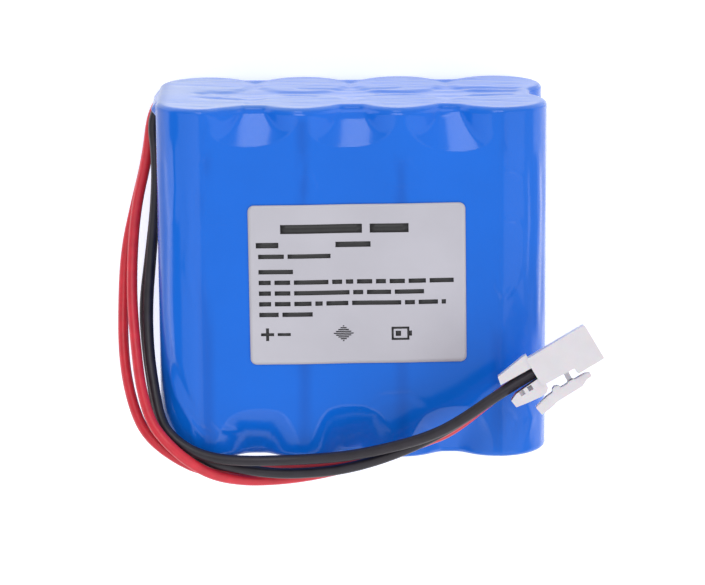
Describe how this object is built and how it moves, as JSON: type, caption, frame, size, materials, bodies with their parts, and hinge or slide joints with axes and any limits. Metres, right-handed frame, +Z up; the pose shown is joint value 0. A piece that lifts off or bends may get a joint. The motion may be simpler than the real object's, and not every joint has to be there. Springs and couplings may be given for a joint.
{
  "type": "rechargeable battery pack",
  "caption": "Flat block of round cells in blue shrink film, with a pale label, red and black leads and a white latching plug.",
  "frame": {"origin": "centre of the flat face that the pack lies on", "axes": "+Z up through the labelled face, +X across the cells towards the plug's side, +Y along the cells towards the end with the circuit board"},
  "size_m": [0.0937, 0.0744, 0.0523],
  "materials": {
    "can_steel": "drawn nickel-plated steel",
    "cap_steel": "pressed nickel-plated steel",
    "cell_wrap": "thin shrunk plastic",
    "electrode_roll": "wound coated foil, matte",
    "gasket_plastic": "moulded",
    "washer_paper": "fibre board",
    "nickel": "rolled strip",
    "insulating_sheet": "pressed fibre sheet",
    "sense_wire": "thin insulated wire",
    "board_green": "solder-masked glass laminate",
    "chip_black": "moulded",
    "part_plating": "glazed with plated ends",
    "blue_film": "glossy shrunk film",
    "label_pale": "satin printed film",
    "connector_white": "moulded nylon",
    "terminal_tin": "tin-plated brass",
    "lead_black": "soft insulation",
    "lead_red": "soft insulation",
    "solder": "tinned strands in solder"
  },
  "bodies": {
    "pack": {"cell_1_can": "can_steel", "cell_1_wrap": "cell_wrap", "cell_1_cap": "cap_steel", "cell_1_roll": "electrode_roll", "cell_2_can": "can_steel", "cell_2_wrap": "cell_wrap", "cell_2_cap": "cap_steel", "cell_2_roll": "electrode_roll", "cell_3_can": "can_steel", "cell_3_wrap": "cell_wrap", "cell_3_cap": "cap_steel", "cell_3_roll": "electrode_roll", "cell_4_can": "can_steel", "cell_4_wrap": "cell_wrap", "cell_4_cap": "cap_steel", "cell_4_roll": "electrode_roll", "cell_5_can": "can_steel", "cell_5_wrap": "cell_wrap", "cell_5_cap": "cap_steel", "cell_5_roll": "electrode_roll", "cell_6_can": "can_steel", "cell_6_wrap": "cell_wrap", "cell_6_cap": "cap_steel", "cell_6_roll": "electrode_roll", "cell_7_can": "can_steel", "cell_7_wrap": "cell_wrap", "cell_7_cap": "cap_steel", "cell_7_roll": "electrode_roll", "cell_8_can": "can_steel", "cell_8_wrap": "cell_wrap", "cell_8_cap": "cap_steel", "cell_8_roll": "electrode_roll", "cell_gaskets": "gasket_plastic", "paper_washers": "washer_paper", "strip_negative": "nickel", "strip_cells_2_3": "nickel", "strip_positive": "nickel", "strip_cells_1_2": "nickel", "strip_cells_3_4": "nickel", "insulator_far_end": "insulating_sheet", "insulator_lead_end": "insulating_sheet", "sense_wires": "sense_wire", "board_tabs": "nickel", "circuit_board": "board_green", "board_chips": "chip_black", "board_passives": "part_plating", "board_cover": "insulating_sheet", "film_sleeve": "blue_film", "info_label": "label_pale", "connector_housing": "connector_white", "terminal_1": "terminal_tin", "terminal_2": "terminal_tin", "terminal_3": "terminal_tin", "terminal_4": "terminal_tin", "lead_black_inner": "lead_black", "lead_black_outer": "lead_black", "lead_red_inner": "lead_red", "lead_red_outer": "lead_red", "lead_stubs": "solder"},
    "latch": {"latch_lever": "connector_white"}
  },
  "joints": [
    {"name": "latch_press", "type": "hinge", "parent": "pack", "child": "latch", "pos_m": [0.04113, -0.01668, 0.04604], "axis": [0.0426, -0.2164, -0.9754], "range_deg": [0, 4.5], "stiffness_Nm_per_rad": 0.08}
  ]
}
